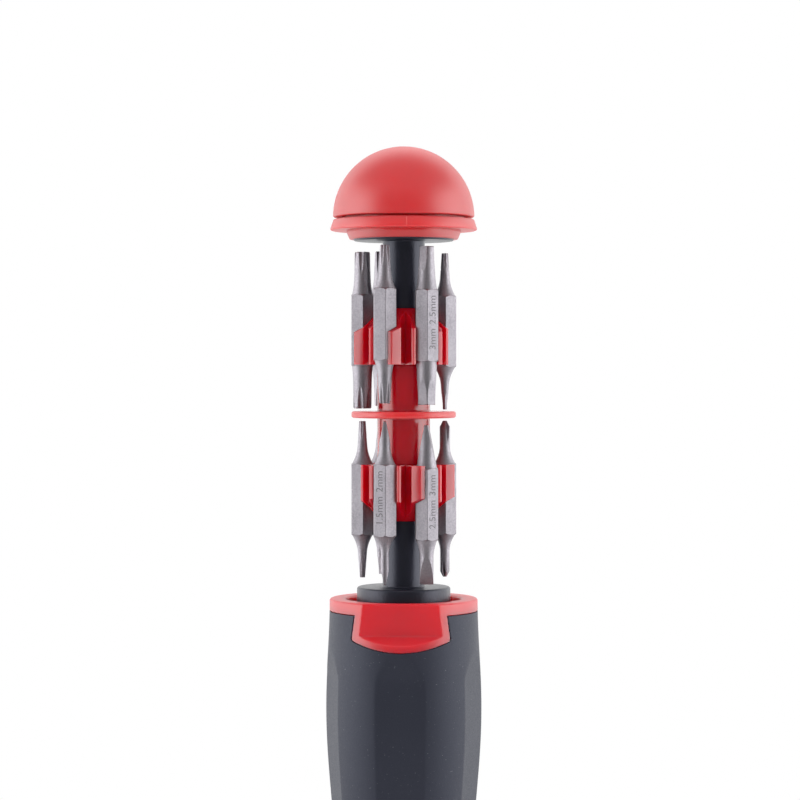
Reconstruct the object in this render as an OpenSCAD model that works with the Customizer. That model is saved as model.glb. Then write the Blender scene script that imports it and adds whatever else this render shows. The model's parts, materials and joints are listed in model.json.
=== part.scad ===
// Pocket screwdriver with a pull-out magazine of double-ended bits.
// The axis is Z. The nose of the handle is at z = 0 with the driver shaft below it, and the magazine is drawn
// out of the handle's upper end. The front, with the finger scoop, is -Y. Sizes are millimetres and degrees.

/* [Bits] */
// Width of a bit's hexagon across its flats
bit_af = 4; // [3.6:0.1:4.4]
// Length of a bit from tip to tip
bit_len = 28.5; // [27:0.5:29]
// Length of the plain hexagon in the middle of a bit
bit_hex_len = 13; // [12:0.5:14]
// Radius of the circle that the bits stand on
bit_circle_r = 7.5; // [7.4:0.1:8.4]
// Distance of a bit's inner end from the middle of the dividing ring
bit_lift = 1.15; // [1:0.05:1.6]

/* [Clips] */
// Thickness of the fingers that grip the bits
clip_wall = 0.75; // [0.6:0.05:0.85]
// Height of a clip from its flat face to the end of its sleeve
clip_h = 10.15; // [9.6:0.05:10.8]
// Height of the fingers at their outer ends
clip_rim_h = 5.5; // [5:0.05:7]
// Outer radius of the sleeve end of a clip
clip_sleeve_r = 4.3; // [4.2:0.05:4.6]
// How far a clip's flat face stands past the end of the bits' hexagon
clip_set = 0.15; // [0:0.05:0.5]
// How far the long finger reaches over its bit
long_reach = 1.62; // [1.2:0.02:1.8]
// How far the short finger stands past the widest line of its bit
short_reach = 0.4; // [0.1:0.05:0.6]

/* [Magazine] */
// Radius of the spindle that carries the clips
spindle_r = 3; // [2.6:0.1:3.3]
// Radius of the black necks above and below the clips
neck_r = 3.82; // [3.6:0.02:4.1]
// Room between the highest bit and the head disc
head_room = 0.95; // [0.6:0.05:2]
// Room between the lowest bit and the piston
foot_room = 0.85; // [0.2:0.05:2]
// Outer radius of the tube between the clips
spacer_r = 4.8; // [4.7:0.05:5]
// Radius of the dividing ring
ring_r = 9.5; // [8.5:0.1:9.6]
// Thickness of the dividing ring
ring_h = 1.2; // [0.8:0.1:1.4]
// Radius of the piston's upper disc
piston_r = 8.5; // [7.5:0.1:9]
// Height of the piston's upper disc
piston_h = 7.2; // [6:0.1:9]
// Thickness of the piston's stop flange
stop_h = 3.6; // [3.2:0.1:5]
// Angle that the magazine is turned in the handle
magazine_turn = 6; // [-30:1:30]

/* [Cap] */
// Radius of the dome
dome_r = 12.85; // [12:0.05:13]
// Wall of the dome
dome_wall = 1.6; // [1.2:0.1:2.2]
// Height of the flange under the dome
flange_h = 2; // [1.5:0.1:3]
// Outward flare of the flange from top to bottom
flange_flare = 0.65; // [0.2:0.05:0.8]
// Height of the spigot that seats in the handle's mouth
spigot_h = 1.6; // [1.2:0.1:2.4]
// Running gap between the dome and the flange
dome_gap = 0.4; // [0.3:0.05:0.7]
// Radius of the pivot post under the dome
post_r = 3; // [2.6:0.1:3.4]
// Radius of the head disc on the stem
head_r = 9.1; // [8.4:0.1:9.3]
// Thickness of the head disc
head_h = 2.1; // [1.9:0.1:2.8]
// How far the head disc stands below the spigot
head_drop = 0.3; // [0.1:0.05:0.5]

/* [Handle] */
// Length of the handle from its nose to the rim of its collar
handle_len = 95; // [93:0.5:110]
// Length of the solid nose under the magazine's chamber
nose_len = 18.4; // [17:0.1:24]
// Depth of the mouth that takes the spigot
mouth_depth = 3.5; // [2.6:0.1:4]
// Height of the lip that stops the piston
lip_h = 1.5; // [1:0.1:2]
// Step from the lip out to the bore
lip_step = 0.55; // [0.5:0.05:0.8]
// Wall of the hard core around the bore
core_wall = 1; // [0.8:0.1:1.2]
// Wall of the collar at its rim
collar_wall = 3; // [2.9:0.1:3.4]
// Height of the plain band of the collar
band_h = 2.2; // [2:0.1:3.5]
// How far the grip swells past the collar
grip_swell = 0.7; // [0.4:0.05:1.2]
// How far the grip's waist lies inside the collar
grip_waist = 1; // [0.6:0.05:1.05]
// Height of the widest line of the grip
swell_z = 75; // [72:0.5:78]
// Height of the grip's waist
waist_z = 44; // [40:0.5:48]
// Height of the finger guard near the nose
guard_z = 15; // [13:0.5:18]
// Radius of the nose
nose_r = 9.6; // [9:0.1:11]
// Inward step of the finger guard from the collar's radius
guard_step = 0.2; // [0:0.05:1]
// Height at which the flats of the grip start
flat_foot_z = 24; // [20:0.5:30]
// Number of flats around the grip
flat_count = 5; // [4:1:6]
// Half of the angle that a flat spans
flat_half_angle = 18.3; // [14:0.1:19]

/* [Finger scoop] */
// Half width of the scoop panel at the collar's band
panel_half_top = 8.3; // [7.8:0.1:8.8]
// Half width of the scoop panel at its lower corners
panel_half_low = 8.9; // [8.4:0.1:9.4]
// Height of the panel from the rim to its lower corners
panel_h = 6.7; // [6:0.1:7.5]
// Drop of the panel's curved lower edge below its corners
panel_sag = 1.9; // [0.8:0.1:2.2]
// Depth of the scoop below the rim's outer radius
scoop_depth = 1.8; // [1.2:0.05:1.9]
// Height of the scoop's flat
scoop_h = 5.8; // [4.6:0.1:6]
// Height of the slope under the scoop's flat
scoop_slope_h = 1.6; // [0.8:0.1:1.8]

/* [Shaft] */
// Radius of the driver shaft
shaft_r = 3.25; // [3.1:0.05:3.8]
// Length of the shaft outside the handle
shaft_len = 40; // [30:1:80]
// Radius of the turned root held in the handle
shaft_root_r = 2.8; // [2.4:0.05:3]
// Length of the root held in the handle
shaft_root_len = 15; // [10:0.5:15.5]
// Width of the anchor lugs at the root of the shaft
lug_w = 9; // [8:0.1:11]
// Depth of the hexagon socket
socket_depth = 14; // [12:0.5:16]
// Radius of the magnet under the socket
magnet_r = 1.8; // [1.5:0.05:1.9]
// Height of the magnet under the socket
magnet_h = 3; // [2:0.1:5]

/* [Fits] */
// Gap on each side of a bit in its seat or socket
bit_gap = 0.05; // [0.03:0.01:0.1]
// Radial gap between pieces that slide or turn on each other
slip_gap = 0.06; // [0.03:0.01:0.1]
// Gap between pieces that are moulded or pressed together
seat_gap = 0.02; // [0.01:0.01:0.05]
// Gap between the bits and the lip that they pass
lip_gap = 0.28; // [0.2:0.02:0.5]
// Gap left at the stops of the magazine
stop_gap = 0.1; // [0.05:0.01:0.3]

/* [Hidden] */
$fn = 48;

// Colours of the real pieces
red = "#c8202c";
soft_grey = "#3c3e46";
black = "#22242a";
steel = "#8f8d92";
bright_steel = "#b4b4b8";

// Bits and their seats: six seats to a tier, each between two arms
seats = 6;
pitch = 360 / seats;
bit_corner = bit_af / sqrt(3);
bit_break_r = bit_af / 2 - 0.04;
bit_neck_r = bit_af / 2 - 0.1;
seat_af = bit_af + 2 * bit_gap;
seat_corner = seat_af / sqrt(3);
wall_af = seat_af + 2 * clip_wall;
wall_corner = wall_af / sqrt(3);
tip_len = (bit_len - bit_hex_len) / 2;
bit_mid = bit_lift + bit_len / 2;
spacer_len = 2 * (bit_lift + tip_len + clip_set);
slot_half = bit_circle_r * sin(pitch / 2) - wall_af / 2;
floor_valley = spacer_r + 0.1;
floor_rise = 1.2;

// Tips of the bits: length of the bend under the hexagon, share of the step down to the tip that is a plain
// taper, and half angle of the blades
bend_len = 3.2;
taper_share = 0.4;
blade_half_angle = 11.5;

// Bits of each tier in seat order: the upper tip, the lower tip, and how far the bit was pushed along its clip.
// A tip is its kind, its size, its twist and its extra length.
upper_bits = [
    [["star", 2.74, 18, 0], ["star", 3.27, 14, 0], -0.1],
    [["star", 1.75, 0, 0], ["star", 2.06, -4, 0], 0.9],
    [["hex", 2.5, 0, 0], ["hex", 3, 0, 0], 0.65],
    [["star", 1.17, 25, 0], ["hex", 0.72, 0, 0], -0.3],
    [["hex", 1.5, 0, 0], ["hex", 2, 0, 0], 0.2],
    [["star", 2.39, 0, 0], ["star", 2.57, 0, 0], 0.3]
];
lower_bits = [
    [["star", 1.17, 21, 0], ["star", 0.99, 0, 0], 0],
    [["blade", 2, 26, 0], ["blade", 1.5, 28, 0.9], 0.1],
    [["blade", 3, -39, 0], ["blade", 2.5, 56, 0.2], -0.6],
    [["cross", 1.85, 35, 0], ["cross", 1.7, 72, 0], 0.05],
    [["cross", 2.6, 0, 0], ["cross", 1.2, 0, 0], -0.2],
    [["hex", 1.3, 0, 0], ["hex", 0.9, 0, 0], 0.1]
];
driver_tips = [["cross", 3.2, 45, 0], ["cross", 3, 45, 0], 0];

// Furthest that a bit stands past its plain place, towards the head disc and towards the piston
function head_reach() = max([for (b = upper_bits) b[0][3] + b[2]]);
function foot_reach() = max([for (b = lower_bits) b[1][3] - b[2]]);

// Radii of the handle, from the bits outward
envelope_r = norm([bit_circle_r + bit_af / 2, bit_corner / 2]);
lip_r = envelope_r + lip_gap;
bore_r = lip_r + lip_step;
mouth_r = bore_r + slip_gap;
core_r = bore_r + core_wall;
collar_r = mouth_r + collar_wall;
swell_r = collar_r + grip_swell;
waist_r = collar_r - grip_waist;
guard_r = collar_r - guard_step;
spigot_r = mouth_r - 2 * slip_gap;
flange_r = collar_r - seat_gap;
flange_top_r = flange_r - flange_flare;
rim_round = 0.4;
edge_round = 0.3;
spigot_lead = 0.5;
guide_gap = 0.25;
guide_wall = 1.2;
guide_h = 0.8;
nose_h = 2;
nose_edge = 1;
nose_edge_h = 0.6;
sleeve_edge = 0.4;
nose_core_r = nose_r - sleeve_edge;

// Heights of the magazine, drawn out against its stop
lip_z = handle_len - mouth_depth - lip_h;
stop_z = lip_z - stop_gap;
piston_z = stop_z + piston_h;
ring_z = piston_z + foot_room + foot_reach() + bit_len + bit_lift;
lower_clip_z = ring_z - spacer_len / 2;
upper_clip_z = ring_z + spacer_len / 2;
head_z = ring_z + bit_lift + bit_len + head_reach() + head_room;
foot_neck_len = lower_clip_z - clip_h - piston_z;
head_neck_len = head_z - upper_clip_z - clip_h;
spigot_z = head_z + head_drop;
flange_z = spigot_z + spigot_h;
base_top_z = flange_z + flange_h;
dome_z = base_top_z + dome_gap;
floor_z = nose_len;

// Stroke of the magazine, until its flange meets the collar or its piston meets the chamber's floor
stroke = min(flange_z - handle_len, stop_z - stop_h - floor_z) - stop_gap;
echo(stroke = stroke);

// Piston ring and the screws that hold the magazine together
ring_wire_r = 0.9;
ring_wire_gap = 0.1;
ring_mid_r = bore_r - ring_wire_gap - ring_wire_r;
groove_half = ring_wire_r + ring_wire_gap;
spindle_foot_z = stop_z - stop_h + 1.9;
screw_r = 1.25;
screw_len = 9;
screw_head_r = 2.2;
screw_head_h = 1.4;
post_h = 3.4;
post_head_r = post_r + 0.35;
post_head_h = 1.3;
hub_wall = 1.6;

// Lengths along which the flats of the grip run
flat_top_z = panel_foot() - 0.6;
flat_fade = 4.5;
flat_step = 3.5;
grip_step = 3;

function panel_foot() = handle_len - panel_h - panel_sag;

// Radius that eases from one station of the grip to the next
function ease(z, z0, r0, z1, r1) = r0 + (r1 - r0) * (1 - cos(180 * (z - z0) / (z1 - z0))) / 2;

// Outer radius of the handle at a height
function grip_r(z) =
    z > swell_z ? ease(z, swell_z, swell_r, handle_len, collar_r) :
    z > waist_z ? ease(z, waist_z, waist_r, swell_z, swell_r) :
    z > guard_z ? ease(z, guard_z, guard_r, waist_z, waist_r) :
    ease(z, -guard_z / 3, nose_core_r - nose_edge, guard_z, guard_r);

// Heights from one end to the other in near-equal steps
function steps(z0, z1, step) = let (n = ceil((z1 - z0) / step)) [for (i = [0:n]) z0 + (z1 - z0) * i / n];

// Share of a flat's full depth at a height, with a soft run-out at both ends
function flat_share(z) = min(1, (flat_top_z - z) / flat_fade, (z - flat_foot_z) / flat_fade);

// Distance of a flat's floor from the axis
function flat_floor(z) = grip_r(z) * (1 - (1 - cos(flat_half_angle)) * flat_share(z));

// Angle of a seat from the front, turning towards +X
function seat_angle(k) = -90 + pitch * (k - 1);

// Solid of revolution about the axis from points of radius and height
module turned(points) {
    rotate_extrude() polygon(points);
}

module hexagon(af) {
    circle(r = af / sqrt(3), $fn = 6);
}

// Outline of a tip's neck, from the hexagon's end at height 0: a bend under the hexagon and a taper to the tip
function neck_outline(r, root_r, share, length) = [
    for (t = [0:0.125:1]) let (s = bend_len * t)
        [r + (root_r - r) * (share * (1 - s / length) + (1 - share) * pow(1 - t, 2)), s]
];

// Turned body of a tip, ending flat
module tip_body(r, share, length) {
    edge = r * 0.1;
    turned(concat(
        [[0, 0]], neck_outline(r, bit_neck_r, share, length),
        [[r, length - edge], [r - edge, length], [0, length]]
    ));
}

// Star tip: a turned body with six leaning flutes that run out under the bend of its neck
module star_tip(size, length) {
    r = size / 2;
    flute_r = size * 0.19;
    flute_floor = size * 0.34;
    flute_h = length - bend_len;
    run_out_r = r + (bit_neck_r - r) * taper_share * flute_h / length + 0.05;
    lean = atan((run_out_r - flute_floor) / flute_h);
    difference() {
        tip_body(r, taper_share, length);
        for (k = [0:5])
            rotate(60 * k + 30) translate([flute_floor + flute_r, 0, length]) rotate([0, -lean, 0])
                translate([0, 0, -flute_h]) cylinder(r = flute_r, h = flute_h + 1);
    }
}

// Hexagon tip: a turned body with six flats, ground hollow by a wheel that leaves the body under its neck
module hex_tip(size, length) {
    body_r = size / sqrt(3) * 0.97;
    run = 3.2 + size / 2;
    rise = body_r + (bit_neck_r - body_r) * taper_share * (1 - run / length) - size / 2;
    wheel_r = (run * run + rise * rise) / (2 * rise);
    difference() {
        tip_body(body_r, taper_share, length);
        for (k = [0:5])
            rotate(60 * k + 30) translate([size / 2 + wheel_r, 0, length]) rotate([90, 0, 0])
                cylinder(r = wheel_r, h = 2 * bit_af, center = true, $fn = 360);
    }
}

// Flat blade: a turned body ground to a wedge
module blade_tip(size, length) {
    r = size / 2;
    edge_half = 0.1 + size * 0.05;
    wedge_z = length - (r - edge_half) / tan(blade_half_angle);
    intersection() {
        tip_body(r, 0, length);
        rotate([90, 0, 0]) linear_extrude(2 * bit_af, center = true)
            polygon([
                [bit_af, -1], [bit_af, wedge_z - bit_af + r], [r, wedge_z], [edge_half, length],
                [-edge_half, length], [-r, wedge_z], [-bit_af, wedge_z - bit_af + r], [-bit_af, -1]
            ]);
    }
}

// Cross tip: a pointed body with four grooves that run out up its sides
module cross_tip(size, length) {
    r = size / 2;
    point_r = r * 0.4;
    point_h = (r - point_r) / tan(27);
    valley = r * 0.22;
    groove_len = 2.5 + 2 * r;
    lean = atan((r - valley) / groove_len);
    difference() {
        turned(concat(
            [[0, 0]], neck_outline(r, bit_neck_r, 0, length),
            [[r, length - point_h], [point_r, length], [0, length]]
        ));
        for (k = [0:3])
            rotate(90 * k) translate([valley, 0, length]) rotate([0, -lean, 0])
                translate([0, 0, -groove_len * 1.2]) linear_extrude(groove_len * 1.2 + 1)
                    polygon([[0, 0], [size, size * 0.8], [size, -size * 0.8]]);
    }
}

// One end of a bit, standing on the hexagon's end
module bit_tip(tip) {
    length = tip_len + tip[3];
    rotate(tip[2]) {
        if (tip[0] == "blade") blade_tip(tip[1], length);
        if (tip[0] == "cross") cross_tip(tip[1], length);
        if (tip[0] == "star") star_tip(tip[1], length);
        if (tip[0] == "hex") hex_tip(tip[1], length);
    }
}

// Double-ended bit about its own middle, with the ends of its hexagon broken by a turned chamfer
module double_bit(tips) {
    overlap = 0.05;
    half = bit_hex_len / 2;
    out = bit_corner + 0.1;
    rise = out - bit_break_r;
    color(steel) union() {
        intersection() {
            linear_extrude(bit_hex_len, center = true) hexagon(bit_af);
            turned([
                [0, -half], [bit_break_r, -half], [out, -half + rise],
                [out, half - rise], [bit_break_r, half], [0, half]
            ]);
        }
        translate([0, 0, half - overlap]) bit_tip(tips[0]);
        mirror([0, 0, 1]) translate([0, 0, half - overlap]) bit_tip(tips[1]);
    }
}

// Puts a child that lies at the middle of its bit into a seat of the magazine
module at_seat(k, z) {
    rotate(magazine_turn + seat_angle(k)) translate([0, -bit_circle_r, z]) children();
}

module upper_bit(k) {
    at_seat(k, ring_z + bit_mid + upper_bits[k - 1][2]) double_bit(upper_bits[k - 1]);
}

module lower_bit(k) {
    at_seat(k, ring_z - bit_mid + lower_bits[k - 1][2]) double_bit(lower_bits[k - 1]);
}

// Point in the plan of a clip, given outward and sideways from the middle of the seat at an angle from the front
function seat_point(angle, out, side) = let (r = bit_circle_r + out)
    [r * sin(angle) + side * cos(angle), side * sin(angle) - r * cos(angle)];

// Point in the plan of a clip, given along and beside the arm at an angle from the front
function arm_point(angle, out, side) = [out * sin(angle) + side * cos(angle), side * sin(angle) - out * cos(angle)];

// Outline of one seat, from the slot in the arm before it to the slot in the arm after it. Both fingers follow
// the hexagon, and the short one ends early, so that the bit slides out along the long one.
function seat_outline(angle) = [
    arm_point(angle - pitch / 2, floor_valley, 0),
    arm_point(angle - pitch / 2, floor_valley + floor_rise, slot_half),
    seat_point(angle, 0, -wall_corner),
    seat_point(angle, short_reach, -wall_corner + short_reach / sqrt(3)),
    seat_point(angle, short_reach, -seat_corner - short_reach / sqrt(3)),
    seat_point(angle, -seat_af / 2, -seat_corner / 2),
    seat_point(angle, -seat_af / 2, seat_corner / 2),
    seat_point(angle, 0, seat_corner),
    seat_point(angle, long_reach, seat_corner - long_reach / sqrt(3)),
    seat_point(angle, long_reach, wall_corner - long_reach / sqrt(3)),
    seat_point(angle, 0, wall_corner),
    arm_point(angle + pitch / 2, floor_valley + floor_rise, -slot_half)
];

// Plan of a clip: six seats of even wall around a hub, each with a long and a short finger
module clip_plan() {
    difference() {
        polygon([for (k = [0:seats - 1]) each seat_outline(pitch * k + pitch / 2)]);
        circle(r = spindle_r + seat_gap);
    }
}

// Clip with its flat face at height 0 and its sleeve upward
module bit_clip() {
    rim_r = bit_circle_r + wall_af / 2;
    hollow = 1.4;
    color(red) intersection() {
        linear_extrude(clip_h) clip_plan();
        turned(concat(
            [[0, 0], [rim_r, 0]],
            [for (t = [0:0.2:1])
                [rim_r + (clip_sleeve_r - rim_r) * t, clip_rim_h + (clip_h - clip_rim_h) * pow(t, hollow)]],
            [[0, clip_h]]
        ));
    }
}

module upper_bit_clip() {
    translate([0, 0, upper_clip_z]) rotate(magazine_turn) bit_clip();
}

module lower_bit_clip() {
    translate([0, 0, lower_clip_z]) rotate(magazine_turn) rotate([0, 180, 0]) bit_clip();
}

module spacer_ring() {
    bore = spindle_r + seat_gap;
    half = spacer_len / 2 - seat_gap;
    edge = ring_h / 4;
    color(red) translate([0, 0, ring_z])
        turned([
            [bore, -half], [spacer_r, -half], [spacer_r, -ring_h / 2],
            [ring_r - edge, -ring_h / 2], [ring_r, -ring_h / 2 + edge], [ring_r, ring_h / 2 - edge],
            [ring_r - edge, ring_h / 2], [spacer_r, ring_h / 2], [spacer_r, half], [bore, half]
        ]);
}

// Head disc, upper neck and spindle in one piece
module magazine_stem() {
    top = head_z + head_h;
    color(black) difference() {
        turned([
            [0, spindle_foot_z], [spindle_r, spindle_foot_z], [spindle_r, head_z - head_neck_len + seat_gap],
            [neck_r, head_z - head_neck_len + seat_gap], [neck_r, head_z], [head_r - edge_round, head_z],
            [head_r, head_z + edge_round], [head_r, top], [0, top]
        ]);
        translate([0, 0, top - screw_len]) cylinder(r = screw_r + seat_gap, h = screw_len + 1);
        translate([0, 0, spindle_foot_z - 1]) cylinder(r = screw_r + seat_gap, h = screw_len + 1);
    }
}

// Piston with the lower neck, the stop flange and its ring groove
module piston() {
    foot = stop_z - stop_h;
    groove_z = stop_z - stop_h / 2;
    groove_r = ring_mid_r - groove_half;
    flange = bore_r - 2 * slip_gap;
    bore = spindle_r + seat_gap;
    color(black) difference() {
        turned([
            [screw_r + seat_gap, foot], [flange, foot], [flange, groove_z - groove_half],
            [groove_r, groove_z - groove_half], [groove_r, groove_z + groove_half], [flange, groove_z + groove_half],
            [flange, stop_z], [piston_r, stop_z], [piston_r, piston_z - rim_round],
            [piston_r - rim_round, piston_z], [neck_r, piston_z], [neck_r, piston_z + foot_neck_len - seat_gap],
            [bore, piston_z + foot_neck_len - seat_gap], [bore, spindle_foot_z - seat_gap],
            [screw_r + seat_gap, spindle_foot_z - seat_gap]
        ]);
        translate([0, 0, foot - 1]) cylinder(r = screw_head_r + seat_gap, h = 1 + screw_head_h + seat_gap);
    }
}

// Pan-head screw with its head at height 0, pointing up
module screw(length) {
    slot_w = 0.6;
    color(bright_steel) difference() {
        turned([
            [0, 0], [screw_head_r, 0], [screw_head_r, screw_head_h], [screw_r, screw_head_h],
            [screw_r, length - screw_r / 2], [screw_r / 2, length], [0, length]
        ]);
        for (a = [0, 90])
            rotate(a) translate([-screw_head_r * 0.7, -slot_w / 2, -1])
                cube([screw_head_r * 1.4, slot_w, 1 + screw_head_h / 2]);
    }
}

module piston_screw() {
    translate([0, 0, stop_z - stop_h]) screw(screw_len);
}

module piston_ring() {
    color(black) translate([0, 0, stop_z - stop_h / 2])
        rotate_extrude() translate([ring_mid_r, 0]) circle(r = ring_wire_r);
}

// Flange, spigot and the mushroom post that the dome turns on
module cap_base() {
    recess_r = head_r + seat_gap;
    recess_z = head_z + head_h + seat_gap;
    boss_r = post_r + hub_wall;
    post_z = dome_z + post_h;
    guide_r = dome_r - dome_wall - guide_gap;
    guide_z = dome_z + guide_h;
    color(red) difference() {
        turned([
            [0, recess_z], [recess_r, recess_z], [recess_r, spigot_z], [spigot_r - spigot_lead, spigot_z],
            [spigot_r, spigot_z + spigot_h * 0.75], [spigot_r, flange_z], [flange_r - edge_round, flange_z],
            [flange_r, flange_z + edge_round], [flange_top_r, base_top_z],
            [guide_r, base_top_z], [guide_r, guide_z], [guide_r - guide_wall, guide_z],
            [guide_r - guide_wall, base_top_z], [boss_r, base_top_z], [boss_r, dome_z], [post_r, dome_z], [post_r, post_z],
            [post_head_r, post_z], [post_head_r, post_z + post_head_h / 2],
            [post_r - edge_round, post_z + post_head_h], [0, post_z + post_head_h]
        ]);
        translate([0, 0, recess_z - 1]) cylinder(r = screw_r + seat_gap, h = post_z + post_head_h - recess_z);
        translate([0, 0, post_z + post_head_h - screw_head_h])
            cylinder(r = screw_head_r + seat_gap, h = screw_head_h + 1);
    }
}

module stem_screw() {
    top = dome_z + post_h + post_head_h;
    translate([0, 0, top]) rotate([180, 0, 0]) screw(top - head_z - head_h + screw_len - 1);
}

// Hollow dome with the hub that snaps under the post's head
module dome_cap() {
    hub_r = post_r + slip_gap;
    hub_z = dome_z + slip_gap;
    hub_top = dome_z + post_h - slip_gap;
    cavity_r = dome_r - dome_wall;
    color(red) union() {
        difference() {
            intersection() {
                translate([0, 0, dome_z]) sphere(r = dome_r);
                turned([
                    [0, dome_z], [dome_r - edge_round, dome_z], [dome_r + 1, dome_z + edge_round + 1],
                    [dome_r + 1, dome_z + dome_r + 1], [0, dome_z + dome_r + 1]
                ]);
            }
            translate([0, 0, dome_z]) sphere(r = cavity_r);
        }
        difference() {
            intersection() {
                translate([0, 0, hub_z]) cylinder(r = post_r + 2 * hub_wall, h = dome_r);
                translate([0, 0, dome_z]) sphere(r = dome_r - dome_wall / 2);
            }
            translate([0, 0, hub_z - 1]) cylinder(r = hub_r, h = post_h + 1);
            translate([0, 0, hub_top])
                cylinder(r = post_head_r + slip_gap, h = post_head_h + 4 * slip_gap);
        }
    }
}

// Outline of a scoop panel in front view, as a prism through the handle's front
module panel_prism(grow) {
    low_z = handle_len - panel_h;
    arc_r = (pow(panel_half_low, 2) + pow(panel_sag, 2)) / (2 * panel_sag);
    rotate([90, 0, 0]) linear_extrude(swell_r + 2)
        intersection() {
            polygon([
                [-panel_half_top - grow, handle_len + 1], [panel_half_top + grow, handle_len + 1],
                [panel_half_top + grow, handle_len - band_h], [panel_half_low + grow, low_z - grow],
                [panel_half_low + grow, low_z - 2 * panel_sag], [-panel_half_low - grow, low_z - 2 * panel_sag],
                [-panel_half_low - grow, low_z - grow], [-panel_half_top - grow, handle_len - band_h]
            ]);
            translate([0, panel_foot() + arc_r]) circle(r = arc_r + grow, $fn = 180);
        }
}

// Both scoop panels, at the front and the back
module panels(grow) {
    for (a = [0, 180]) rotate(a) panel_prism(grow);
}

// Room that the fingertip scoop takes out of a panel
module scoop() {
    flat_y = collar_r - scoop_depth;
    lean = 0.25;
    out_y = swell_r + 2;
    flat_z = handle_len - scoop_h;
    slope_z = flat_z - scoop_slope_h;
    edge_y = grip_r(slope_z);
    rise = (edge_y - flat_y + lean) / scoop_slope_h;
    translate([-collar_r, 0, 0]) rotate([90, 0, 90]) linear_extrude(2 * collar_r)
        polygon([
            [-flat_y, handle_len + 1], [-flat_y + lean, flat_z], [-edge_y, slope_z],
            [-out_y, slope_z - (out_y - edge_y) / rise], [-out_y, handle_len + 1]
        ]);
}

// Outer form of the handle between two heights
module grip_form(z0, z1) {
    turned(concat([[0, z0]], [for (z = steps(z0, z1, grip_step)) [grip_r(z), z]], [[0, z1]]));
}

// Cutter that planes one flat along the grip, following its swell
module flat_cutter() {
    out = swell_r + 2;
    half = swell_r * sin(flat_half_angle) + 1;
    over = 0.4;
    heights = concat(
        [flat_foot_z - over], steps(flat_foot_z + flat_fade, flat_top_z - flat_fade, flat_step), [flat_top_z + over]
    );
    translate([-half, 0, 0]) rotate([90, 0, 90]) linear_extrude(2 * half)
        polygon(concat(
            [for (z = heights) [-flat_floor(z), z]],
            [[-out, flat_top_z + over], [-out, flat_foot_z - over]]
        ));
}

// Hard core: tube, collar with its scoop panels, and the nose that anchors the shaft
module handle_core() {
    color(red) difference() {
        union() {
            turned([
                [0, 0], [nose_core_r - nose_edge, 0], [nose_core_r, nose_edge_h], [nose_core_r, nose_h],
                [core_r, guard_z], [core_r, handle_len - rim_round], [0, handle_len - rim_round]
            ]);
            turned([
                [0, handle_len - band_h], [grip_r(handle_len - band_h), handle_len - band_h],
                [collar_r, handle_len - rim_round], [collar_r - rim_round, handle_len], [0, handle_len]
            ]);
            intersection() {
                grip_form(panel_foot() - 1, handle_len - band_h / 2);
                panels(0);
            }
        }
        for (a = [0, 180]) rotate(a) scoop();
        turned([
            [0, floor_z], [bore_r, floor_z], [bore_r, lip_z], [lip_r, lip_z], [lip_r, lip_z + lip_h],
            [mouth_r, lip_z + lip_h], [mouth_r, handle_len - rim_round],
            [mouth_r + rim_round, handle_len], [mouth_r + rim_round, handle_len + 1], [0, handle_len + 1]
        ]);
        translate([0, 0, -1]) cylinder(r = shaft_root_r + seat_gap, h = shaft_root_len + seat_gap + 1);
        lug_room(seat_gap);
    }
}

// Soft sleeve moulded over the core, with flats planed along it
module grip_sleeve() {
    color(soft_grey) difference() {
        grip_form(nose_h + seat_gap, handle_len - band_h - seat_gap);
        for (k = [0:flat_count - 1]) rotate(360 / flat_count * k) flat_cutter();
        turned([
            [0, -1], [nose_core_r + seat_gap, -1], [nose_core_r + seat_gap, nose_h],
            [core_r + seat_gap, guard_z], [core_r + seat_gap, handle_len], [0, handle_len]
        ]);
        panels(seat_gap);
    }
}

// Anchor lugs of the shaft, as a solid or as the room for them
module lug_room(grow) {
    lug_t = 1.6;
    lug_h = 6;
    translate([-lug_w / 2 - grow, -lug_t / 2 - grow, shaft_root_len - lug_h - 1 - grow])
        cube([lug_w + 2 * grow, lug_t + 2 * grow, lug_h + 2 * grow]);
}

// Driver shaft with anchor lugs at its root and a hexagon socket at its lower end
module driver_shaft() {
    end_z = -shaft_len;
    edge = 0.5;
    color(bright_steel) difference() {
        union() {
            turned([
                [0, end_z], [shaft_r - edge, end_z], [shaft_r, end_z + edge], [shaft_r, -seat_gap],
                [shaft_root_r, -seat_gap], [shaft_root_r, shaft_root_len - edge],
                [shaft_root_r - edge, shaft_root_len], [0, shaft_root_len]
            ]);
            lug_room(0);
        }
        translate([0, 0, end_z - 1]) linear_extrude(socket_depth + 1) hexagon(seat_af);
        translate([0, 0, end_z + socket_depth - 1]) cylinder(r = magnet_r + seat_gap, h = magnet_h + 1);
        turned([
            [0, end_z - 1], [seat_corner + edge, end_z - 1], [seat_corner + edge / 2, end_z],
            [seat_af / 2, end_z + edge], [0, end_z + edge]
        ]);
    }
}

module socket_magnet() {
    foot = -shaft_len + socket_depth + stop_gap;
    edge = 0.2;
    color(steel) turned([
        [0, foot], [magnet_r - edge, foot], [magnet_r, foot + edge],
        [magnet_r, foot + magnet_h - stop_gap - seat_gap], [0, foot + magnet_h - stop_gap - seat_gap]
    ]);
}

// The bit in use, pushed up against the magnet
module driver_bit() {
    translate([0, 0, -shaft_len + socket_depth - bit_len / 2]) double_bit(driver_tips);
}

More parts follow.
